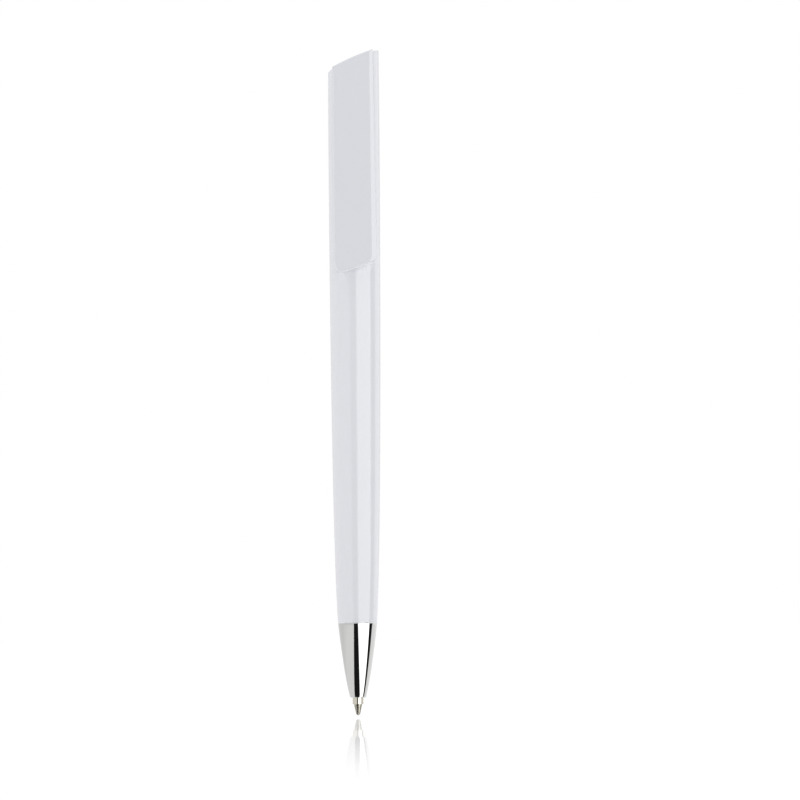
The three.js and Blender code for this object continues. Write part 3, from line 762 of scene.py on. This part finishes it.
def eased(points, radius):
    """The profile with each corner eased by a small round."""
    eased_points = [points[0]]
    for before, corner, after in zip(points, points[1:], points[2:]):
        reach = min(radius, math.dist(before, corner) * 0.4, math.dist(corner, after) * 0.4)
        start = tuple(mix(c, b, reach / math.dist(before, corner)) for c, b in zip(corner, before))
        end = tuple(mix(c, a, reach / math.dist(corner, after)) for c, a in zip(corner, after))
        eased_points += rounded(start, corner, end, 3)
    return eased_points + [points[-1]]


def nose_piece(finish):
    """Swelling cone down to a rounded lip, with the ridged spigot that goes up the barrel."""
    gap, reach = 0.05, 3.7
    cone = [(1.7, reach + 0.2), (2.94, reach + 4.95), (SEAM_RADIUS - gap * SEAM_SLOPE, SEAM_HEIGHT - gap)]
    cone = [bezier(cone, i / 56) for i in range(57)]
    lip = rounded((1.38, reach), (1.7, reach), cone[1], 6)
    edge = 0.05
    shoulder = rounded(cone[-2], cone[-1], (cone[-1][0] - edge, SEAM_HEIGHT - gap), 4)
    root, top = 2.87, 26.8
    spigot = [(root, SEAM_HEIGHT - gap)]
    middle, pitch, depth, half_foot, half_crest = 23.1, 1.1, 0.35, 0.44, 0.06
    for i in range(4):
        z = middle + pitch * (i - 1.5)
        spigot += [(root, z - half_foot), (root + depth, z - half_crest)]
        spigot += [(root + depth, z + half_crest), (root, z + half_foot)]
    bore, mouth, seat = 2.0, 1.35, 7.9
    inside = [(root, top), (bore, top), (bore, seat), (mouth, seat - 0.3), (mouth, reach + 0.1), lip[0]]
    profile = lip + cone[2:-2] + shoulder + spigot + inside
    return turned("nose_cone_chromed", profile, finish, 128)


def point_piece(finish):
    """Turned point: the lip closed over the ball, cone, collar with its small step, shank and stem."""
    seat, centre, feed = 0.39, 0.35, 0.18
    cone = [bezier([(0.41, 0.22), (0.61, 1.1), (0.86, CONE_TOP)], i / 12) for i in range(13)]
    collar, stem, collar_top, stem_top = 1.15, 0.55, 12.0, 17.0
    shank = [cone[-1], (collar, CONE_TOP + 0.06), (collar, collar_top), (stem, collar_top), (stem, stem_top)]
    shank.append((feed, stem_top))
    start, end = math.acos(feed / seat), math.asin((cone[0][1] - centre) / seat)
    arc = []
    for i in range(9):
        a = mix(start, end, i / 8)
        arc.append((seat * math.cos(a), centre + seat * math.sin(a)))
    profile = cone[:-1] + eased(shank, 0.04) + arc + [cone[0]]
    return turned("writing_point_turned", profile, finish, 64)


def ball_piece(finish):
    radius = 0.35
    profile = []
    for i in range(25):
        a = math.pi * i / 24
        profile.append((radius * math.sin(a), radius - radius * math.cos(a)))
    return turned("writing_ball_ground", profile, finish, 48)


def tube_piece(finish):
    """Refill tube with its collar and the narrower nozzle that takes the point."""
    nozzle_bore, nozzle, collar, wall, bore = 0.65, 1.2, 1.8, 1.5, 1.0
    low, collar_low, collar_high, top = 12.2, 20.2, 21.0, 107.31
    outside = [
        (nozzle_bore, low), (nozzle, low), (nozzle, collar_low), (collar, collar_low),
        (collar, collar_high), (wall, collar_high), (wall, top), (bore, top),
        (bore, collar_high), (nozzle_bore, collar_high), (nozzle_bore, low),
    ]
    return turned("refill_tube_drawn", eased(outside, 0.08), finish, 64)


def column_piece(name, low, high, finish):
    """Ink or grease in the tube, with a hollow upper surface."""
    radius, hollow = 0.9, 0.25
    surface = [(radius * (1 - i / 8), high - hollow * (1 - (1 - i / 8) ** 2)) for i in range(9)]
    return turned(name, [(0, low), (radius, low)] + surface, finish, 48)


def spring_piece(finish):
    inputs = {
        "Turns": 9.0, "Coil radius": 1.55 * MM, "Wire radius": 0.2 * MM, "Evenness": 0.34,
        "Low end": SPRING_LOW * MM, "High end": SPRING_HIGH * MM, "Finish": finish,
    }
    return grown("return_spring_wound", [(0, 0, 0), (0, 0, 1)], WINDING, inputs)


def moulded_copy(node, finish):
    """A hidden moulding: the frame's own shape, with its sharp edges broken."""
    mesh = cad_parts[node].data.copy()
    obj = bpy.data.objects.new(node + "_moulding", mesh)
    bpy.context.collection.objects.link(obj)
    bm = bmesh.new()
    bm.from_mesh(mesh)
    bmesh.ops.remove_doubles(bm, verts=bm.verts, dist=1e-6)
    bmesh.ops.dissolve_limit(bm, angle_limit=math.radians(1), verts=bm.verts, edges=bm.edges)
    bm.to_mesh(mesh)
    bm.free()
    mesh.materials.clear()
    mesh.materials.append(finish)
    step = obj.modifiers.new("broken edges", "BEVEL")
    step.width = 0.06 * MM
    step.segments = 2
    step.limit_method = "ANGLE"
    step.angle_limit = math.radians(50)
    settle(obj)
    flatten_shading(obj)
    return obj


# ---------------------------------------------------------------- finishes

class Finish(Sheet):
    """A material sheet with the object's own coordinates at hand."""

    def __init__(self, name):
        self.material = bpy.data.materials.new(name)
        self.material.use_nodes = True
        super().__init__(self.material.node_tree)
        self.here = self.node("ShaderNodeTexCoord", out=3)

    def cloud(self, scale, detail=2.0):
        values = {"Vector": self.here, "Scale": scale, "Detail": detail}
        return self.node("ShaderNodeTexNoise", {}, values)

    def relief(self, height, depth):
        return self.node("ShaderNodeBump", {}, {"Height": height, "Distance": depth, "Strength": 1.0})

    def close(self, values):
        surface = self.node("ShaderNodeBsdfPrincipled", {}, values)
        last = self.tree.nodes.new("ShaderNodeOutputMaterial")
        self.tree.links.new(surface.socket, last.inputs[0])
        return self.material


def over_line(sheet):
    """Height over the straight part of the recess's end wall."""
    x, y, z = split(sheet, sheet.here)
    return z - LINE_SLOPE * x - RECESS_BOTTOM * MM


def painted_light_under_clip(sheet):
    """Share of painted light on the barrel below the clip's end and in the rib behind it, lifting the clip's
    shadow there.
    """
    x, y, z = split(sheet, sheet.here)
    over = over_line(sheet)
    reach = sheet.maths("MINIMUM", sheet.maths("MAXIMUM", 1 + over / (3.2 * MM), 0), 1)
    aside = sheet.maths("ABSOLUTE", x)
    beside_rib = sheet.smooth(aside, RIB_HALF * MM, (RIB_HALF + 0.2) * MM)
    past_rib = sheet.smooth(z, RIB_TOP * MM, (RIB_TOP + RIB_FILLET) * MM)
    above_line = sheet.smooth(over, 0.1 * MM, 0.3 * MM) * sheet.maths("MAXIMUM", beside_rib, past_rib)
    covered = sheet.smooth(x, -4.0 * MM, -2.4 * MM) * (1 - sheet.smooth(x, 3.2 * MM, 4.9 * MM))
    covered = covered * (1 - sheet.smooth(y, -2.2 * MM, -0.8 * MM))
    return sheet.maths("POWER", reach, 2.5) * (1 - above_line) * covered


def painted_light_behind_plate(sheet):
    """Share of painted light on the clip's foot, bead, inner face and lower end, lifting the shade behind the
    plate.
    """
    inner = (PEN_AXIS_Y - CLIP_INNER) * MM
    behind = sheet.smooth(split(sheet, sheet.here)[1], inner - 0.1 * MM, inner)
    end = 0.45 - 0.45 * sheet.smooth(over_line(sheet), -0.3 * MM, -0.2 * MM)
    return sheet.maths("MAXIMUM", behind, end)


def painted_light_on_neck(sheet):
    """Share of painted light on the slider's neck before the flat, lifting its shade in the slot."""
    flat = (PEN_AXIS_Y - FLAT_DISTANCE) * MM
    return 1 - sheet.smooth(split(sheet, sheet.here)[1], flat - 0.1 * MM, flat)


def gloss_white(name, dark, light, painted_lift_share=None):
    sheet = Finish(name)
    colour = sheet.blend(sheet.cloud(90), dark, light)
    if painted_lift_share:
        # Painted light: where the mask gives a share, the colour turns paler and lifts the shade there
        colour = sheet.blend(painted_lift_share(sheet), colour, (0.90, 0.91, 0.95, 1))
    rough = 0.09 + 0.05 * sheet.cloud(1600)
    skin = sheet.relief(sheet.cloud(420), 1.5e-6)
    return sheet.close({"Base Color": colour, "Roughness": rough, "IOR": 1.54, "Normal": skin})


def bright_chrome():
    sheet = Finish("bright chrome plating")
    colour = sheet.blend(sheet.cloud(140), (0.545, 0.548, 0.538, 1), (0.565, 0.568, 0.558, 1))
    rough = 0.035 + 0.03 * sheet.cloud(2400)
    return sheet.close({"Base Color": colour, "Metallic": 1.0, "Roughness": rough})


def turned_brass():
    sheet = Finish("turned brass")
    settings = {"wave_type": "BANDS", "bands_direction": "Z"}
    values = {"Vector": sheet.here, "Scale": 2600.0, "Distortion": 0.6, "Detail": 2.0}
    rings = sheet.node("ShaderNodeTexWave", settings, values, out=1)
    height = split(sheet, sheet.here)[2]
    # Painted shade: the cone below CONE_TOP is painted darker, so it mirrors less of the bright screen; it is
    # also rougher there
    painted_cone_shade = 1 - sheet.smooth(height, CONE_TOP * MM - 1e-4, CONE_TOP * MM + 5e-5)
    bare = sheet.blend(rings, (0.59, 0.56, 0.48, 1), (0.65, 0.62, 0.54, 1))
    colour = sheet.blend(0.8 * painted_cone_shade, bare, (0.24, 0.23, 0.19, 1))
    rough = 0.10 + 0.06 * sheet.cloud(3000) + 0.14 * painted_cone_shade
    skin = sheet.relief(rings, 3e-7)
    return sheet.close({"Base Color": colour, "Metallic": 1.0, "Roughness": rough, "Normal": skin})


def drawn_steel():
    sheet = Finish("drawn steel wire")
    colour = sheet.blend(sheet.cloud(700), (0.50, 0.51, 0.53, 1), (0.62, 0.63, 0.65, 1))
    rough = 0.24 + 0.12 * sheet.cloud(5000, 4.0)
    return sheet.close({"Base Color": colour, "Metallic": 1.0, "Roughness": rough})


def ground_ball():
    sheet = Finish("ground hard metal")
    colour = sheet.blend(sheet.cloud(4000), (0.34, 0.34, 0.35, 1), (0.42, 0.42, 0.43, 1))
    rough = 0.12 + 0.05 * sheet.cloud(9000)
    return sheet.close({"Base Color": colour, "Metallic": 1.0, "Roughness": rough})


def natural_plastic(name, painted_lift_share=None):
    sheet = Finish(name)
    colour = sheet.blend(sheet.cloud(160), (0.60, 0.61, 0.60, 1), (0.64, 0.65, 0.64, 1))
    if painted_lift_share:
        # Painted light: where the mask gives a share, the colour turns paler and lifts the shade there
        colour = sheet.blend(painted_lift_share(sheet), colour, (0.90, 0.91, 0.92, 1))
    rough = 0.30 + 0.10 * sheet.cloud(1800)
    skin = sheet.relief(sheet.cloud(900), 2e-6)
    return sheet.close({"Base Color": colour, "Roughness": rough, "Normal": skin})


def blue_ink():
    sheet = Finish("blue ink")
    colour = sheet.blend(sheet.cloud(300), (0.006, 0.012, 0.12, 1), (0.010, 0.020, 0.17, 1))
    rough = 0.08 + 0.04 * sheet.cloud(900)
    return sheet.close({"Base Color": colour, "Roughness": rough})


def grease():
    sheet = Finish("sealing grease")
    colour = sheet.blend(sheet.cloud(500), (0.52, 0.46, 0.20, 1), (0.60, 0.54, 0.26, 1))
    rough = 0.18 + 0.10 * sheet.cloud(900)
    return sheet.close({"Base Color": colour, "Roughness": rough})


# ---------------------------------------------------------------- stage

# What the polished pieces mirror: by azimuth in degrees from the front, positive towards +X,
# a grey side, a dark strip, a bright screen, a second dark strip and a grey side again. The dark
# strip is broader low down. Towards the back the upper half is a little grey, and all is white
# straight behind and above SURROUND_TOP. A span gives the heights that a part of the pen mirrors,
# as the z of the direction: the nose from lip to seam, the seam, and the barrel's middle.
NOSE_SPAN = -0.485, -0.218
SEAM_SPAN = -0.218, -0.03
BARREL_SPAN = -0.03, 0.01
FAR_SPAN = -0.1, -0.02
NEAR_SPAN = -0.2, -0.14
SIDE_LEVEL = 1.1
NEAR_SIDE_LEVEL = 0.95
LOW_FAR_LEVEL = 1.15
FAR_LEVEL = 1.35
BACK_LEVEL = 0.85
DARK_LEVEL = 0.015
UPPER_DARK_RISE = 0.12
SCREEN_LEVEL = 2.6
SCREEN_GAP = 3
BACK_EDGE = 148, 152
BACK_EDGE_SHIFT = 10
BEHIND_EDGE = 166, 170
SURROUND_TOP = 8, 14

# The floor's gloss: its share, and where it fades in m along and across the strip before the pen
FLOOR_GLOSS = 0.46
GLOSS_LENGTH = -0.52, -0.06
GLOSS_WIDTH = 0.012, 0.035
FLOOR_GLOW = 0.03
FLOOR_HALF = 4.0
FLOOR_DEPTH = -0.37 * MM


def set_surround():
    world = bpy.data.worlds.new("studio")
    bpy.context.scene.world = world
    world.use_nodes = True
    sheet = Sheet(world.node_tree)
    tree = world.node_tree
    towards = sheet.node("ShaderNodeTexCoord", out=0)
    x, y, z = split(sheet, towards)
    azimuth = sheet.maths("ARCTAN2", x, 0 - y) * math.degrees(1)

    def ramp(span, first, last):
        return sheet.node("ShaderNodeMapRange", {}, {0: z, 1: span[0], 2: span[1], 3: first, 4: last})

    def from_edge(edge, width):
        return sheet.smooth(azimuth - edge, -width / 2, width / 2)

    def mixed(share, first, second):
        return first + share * (second - first)

    dark_from = ramp(NOSE_SPAN, -55, -22)
    dark_to = ramp(NOSE_SPAN, 27, 3)
    screen_from = dark_to + SCREEN_GAP
    screen_to = ramp(SEAM_SPAN, 75.5, 75)
    far_dark_to = ramp(SEAM_SPAN, 97.5, 102.5)
    upper = ramp(BARREL_SPAN, 0, 1)
    far_side_level = ramp(FAR_SPAN, LOW_FAR_LEVEL, FAR_LEVEL)
    dark_level = DARK_LEVEL + UPPER_DARK_RISE * upper
    near_side_level = ramp(NEAR_SPAN, SIDE_LEVEL, NEAR_SIDE_LEVEL)
    strength = mixed(from_edge(dark_from, 1.5), near_side_level, dark_level)
    strength = mixed(from_edge(dark_to, 1.5), strength, SIDE_LEVEL)
    strength = mixed(from_edge(screen_from, 2), strength, SCREEN_LEVEL)
    strength = mixed(from_edge(screen_to, 2), strength, dark_level)
    strength = mixed(from_edge(far_dark_to, 5), strength, far_side_level)
    aside = sheet.maths("ABSOLUTE", azimuth)
    back = sheet.smooth(aside + BACK_EDGE_SHIFT * upper, *BACK_EDGE)
    strength = mixed(back, strength, mixed(upper, 1, BACK_LEVEL))
    low, high = (math.sin(math.radians(a)) for a in SURROUND_TOP)
    plain = sheet.maths("MAXIMUM", sheet.smooth(aside, *BEHIND_EDGE), sheet.smooth(z, low, high))
    strength = mixed(plain, strength, 1)
    glossy = sheet.node("ShaderNodeLightPath", out=3)
    strength = mixed(glossy, 1, strength)
    light = sheet.node("ShaderNodeBackground", {}, {"Color": (1, 1, 1, 1), "Strength": strength})
    last = tree.nodes.new("ShaderNodeOutputWorld")
    tree.links.new(light.socket, last.inputs[0])


def lay_floor():
    """White gloss sheet just under the point, in which the point shows faintly and then fades."""
    mesh = bpy.data.meshes.new("floor_sheet")
    corners = [(x * FLOOR_HALF, y * FLOOR_HALF, FLOOR_DEPTH) for x, y in ((-1, -1), (1, -1), (1, 1), (-1, 1))]
    mesh.from_pydata(corners, [], [(0, 1, 2, 3)])
    floor = bpy.data.objects.new("floor_sheet", mesh)
    bpy.context.collection.objects.link(floor)
    floor.visible_glossy = False
    sheet = Finish("white gloss sheet")
    tree = sheet.tree
    x, y, _ = split(sheet, sheet.here)
    share = FLOOR_GLOSS * sheet.smooth(y, *GLOSS_LENGTH)
    share = share * (1 - sheet.smooth(sheet.maths("ABSOLUTE", x), *GLOSS_WIDTH))
    white = (1, 1, 1, 1)
    matt = sheet.node("ShaderNodeBsdfDiffuse", {}, {"Color": white})
    gloss = sheet.node("ShaderNodeBsdfAnisotropic", {}, {"Color": white, "Roughness": 0.02})
    both = sheet.node("ShaderNodeMixShader", {}, {0: share, 1: matt, 2: gloss})
    seen = sheet.node("ShaderNodeLightPath")
    glow = sheet.node("ShaderNodeEmission", {}, {"Color": white, "Strength": FLOOR_GLOW * seen})
    whole = sheet.node("ShaderNodeAddShader", {}, {0: both, 1: glow})
    last = tree.nodes.new("ShaderNodeOutputMaterial")
    tree.links.new(whole.socket, last.inputs[0])
    mesh.materials.append(sheet.material)


# Camera: a little above the table and looking slightly up, in mm, with its lean in degrees
CAMERA_DISTANCE = 1150
CAMERA_HEIGHT = 20
CAMERA_X = 8.93
CAMERA_LEAN = 0.44
AIM_HEIGHT = 66.19
PIXEL = 0.21028
PICTURE_PIXELS = 800
SENSOR = 36


def set_camera():
    data = bpy.data.cameras.new("camera")
    data.lens = CAMERA_DISTANCE / PIXEL * SENSOR / PICTURE_PIXELS
    data.sensor_width = SENSOR
    data.clip_start = 0.01
    camera = bpy.data.objects.new("camera", data)
    bpy.context.collection.objects.link(camera)
    camera.location = (CAMERA_X * MM, (PEN_AXIS_Y - CAMERA_DISTANCE) * MM, CAMERA_HEIGHT * MM)
    rise = math.atan((AIM_HEIGHT - CAMERA_HEIGHT) / CAMERA_DISTANCE)
    camera.rotation_euler = (math.pi / 2 + rise, math.radians(CAMERA_LEAN), 0)
    bpy.context.scene.camera = camera


# ---------------------------------------------------------------- the pen

def put(obj, body, node):
    """Hangs the piece on its body's empty, when it rides on one, and hides the frame's node that it stands
    for.
    """
    if body is not None:
        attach(obj, body)
    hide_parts(node)


bpy.context.scene.view_settings.view_transform = "Standard"
set_surround()
lay_floor()
set_camera()

WHITE = gloss_white("white gloss moulding", (0.723, 0.730, 0.766, 1), (0.735, 0.743, 0.780, 1), painted_light_under_clip)
# The clip's white is a darker copy of the moulding's white: painted shade
SHADED_CLIP_WHITE = gloss_white("white gloss clip", (0.701, 0.715, 0.752, 1), (0.713, 0.728, 0.765, 1), painted_light_behind_plate)
CHROME = bright_chrome()
BRASS = turned_brass()
STEEL = drawn_steel()
BALL = ground_ball()
NATURAL = natural_plastic("unpigmented moulding")
NECK_NATURAL = natural_plastic("unpigmented slider", painted_light_on_neck)
INK = blue_ink()
GREASE = grease()
TURNING = turning_tree()
WINDING = coil_tree()

put(barrel_piece(WHITE), "casing", "barrel")
put(cap_piece(WHITE), "casing", "top_cap")
put(nose_piece(CHROME), "casing", "nose_cone")
put(moulded_copy("guide_sleeve", NATURAL), "casing", "guide_sleeve")
put(moulded_copy("slider", NECK_NATURAL), "carrier", "slider")
put(clip_piece(SHADED_CLIP_WHITE), "clip", "clip")
put(tube_piece(NATURAL), "refill", "refill_tube")
put(column_piece("ink_column", INK_LOW, INK_HIGH, INK), "refill", "ink")
put(column_piece("grease_plug", GREASE_LOW, GREASE_HIGH, GREASE), "refill", "ink_follower")
put(point_piece(BRASS), "refill", "writing_point")
put(ball_piece(BALL), "refill", "writing_ball")
put(moulded_copy("cam_rotor", NATURAL), "rotor", "cam_rotor")

spring = spring_piece(STEEL)
put(spring, None, "return_spring")
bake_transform(spring)
